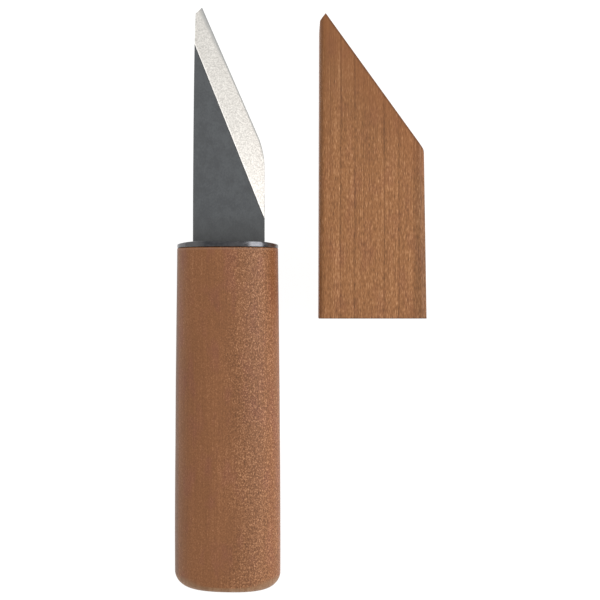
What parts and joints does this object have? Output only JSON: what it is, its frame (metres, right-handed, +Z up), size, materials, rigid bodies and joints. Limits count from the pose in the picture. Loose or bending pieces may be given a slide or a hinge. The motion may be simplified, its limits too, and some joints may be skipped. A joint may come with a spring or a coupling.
{
  "type": "skew-bladed craft knife with sheath",
  "caption": "Skew-bladed craft knife for lino, wood and paper: single-bevel laminated blade, dark steel ferrule plate, oval wooden handle, and a wooden sheath lying beside it.",
  "frame": {"origin": "on the surface that the knife and the sheath lie on, under the middle of the pair", "axes": "+Y along the knife towards the tip, +Z up from the surface, +X from the knife to the sheath"},
  "size_m": [0.063, 0.1474, 0.018],
  "materials": {
    "blade_iron": "soft iron with black forge scale, ground bright on the bevel",
    "blade_steel": "hard steel, finely ground",
    "ferrule_plate": "blackened steel, satin",
    "handle_wood": "fine-grained cherry, oiled, soft sheen",
    "sheath_wood": "straight-grained cherry, oiled, matt"
  },
  "bodies": {
    "knife": {"handle": "handle_wood", "ferrule_plate": "ferrule_plate", "blade_iron": "blade_iron", "blade_steel": "blade_steel"},
    "sheath": {"sheath_front_half": "sheath_wood", "sheath_back_half": "sheath_wood"}
  },
  "joints": [
    {"name": "sheath_slide", "type": "slide", "parent": "knife", "child": "sheath", "axis": [0, 1, 0], "range_m": [0, 0.08]}
  ]
}
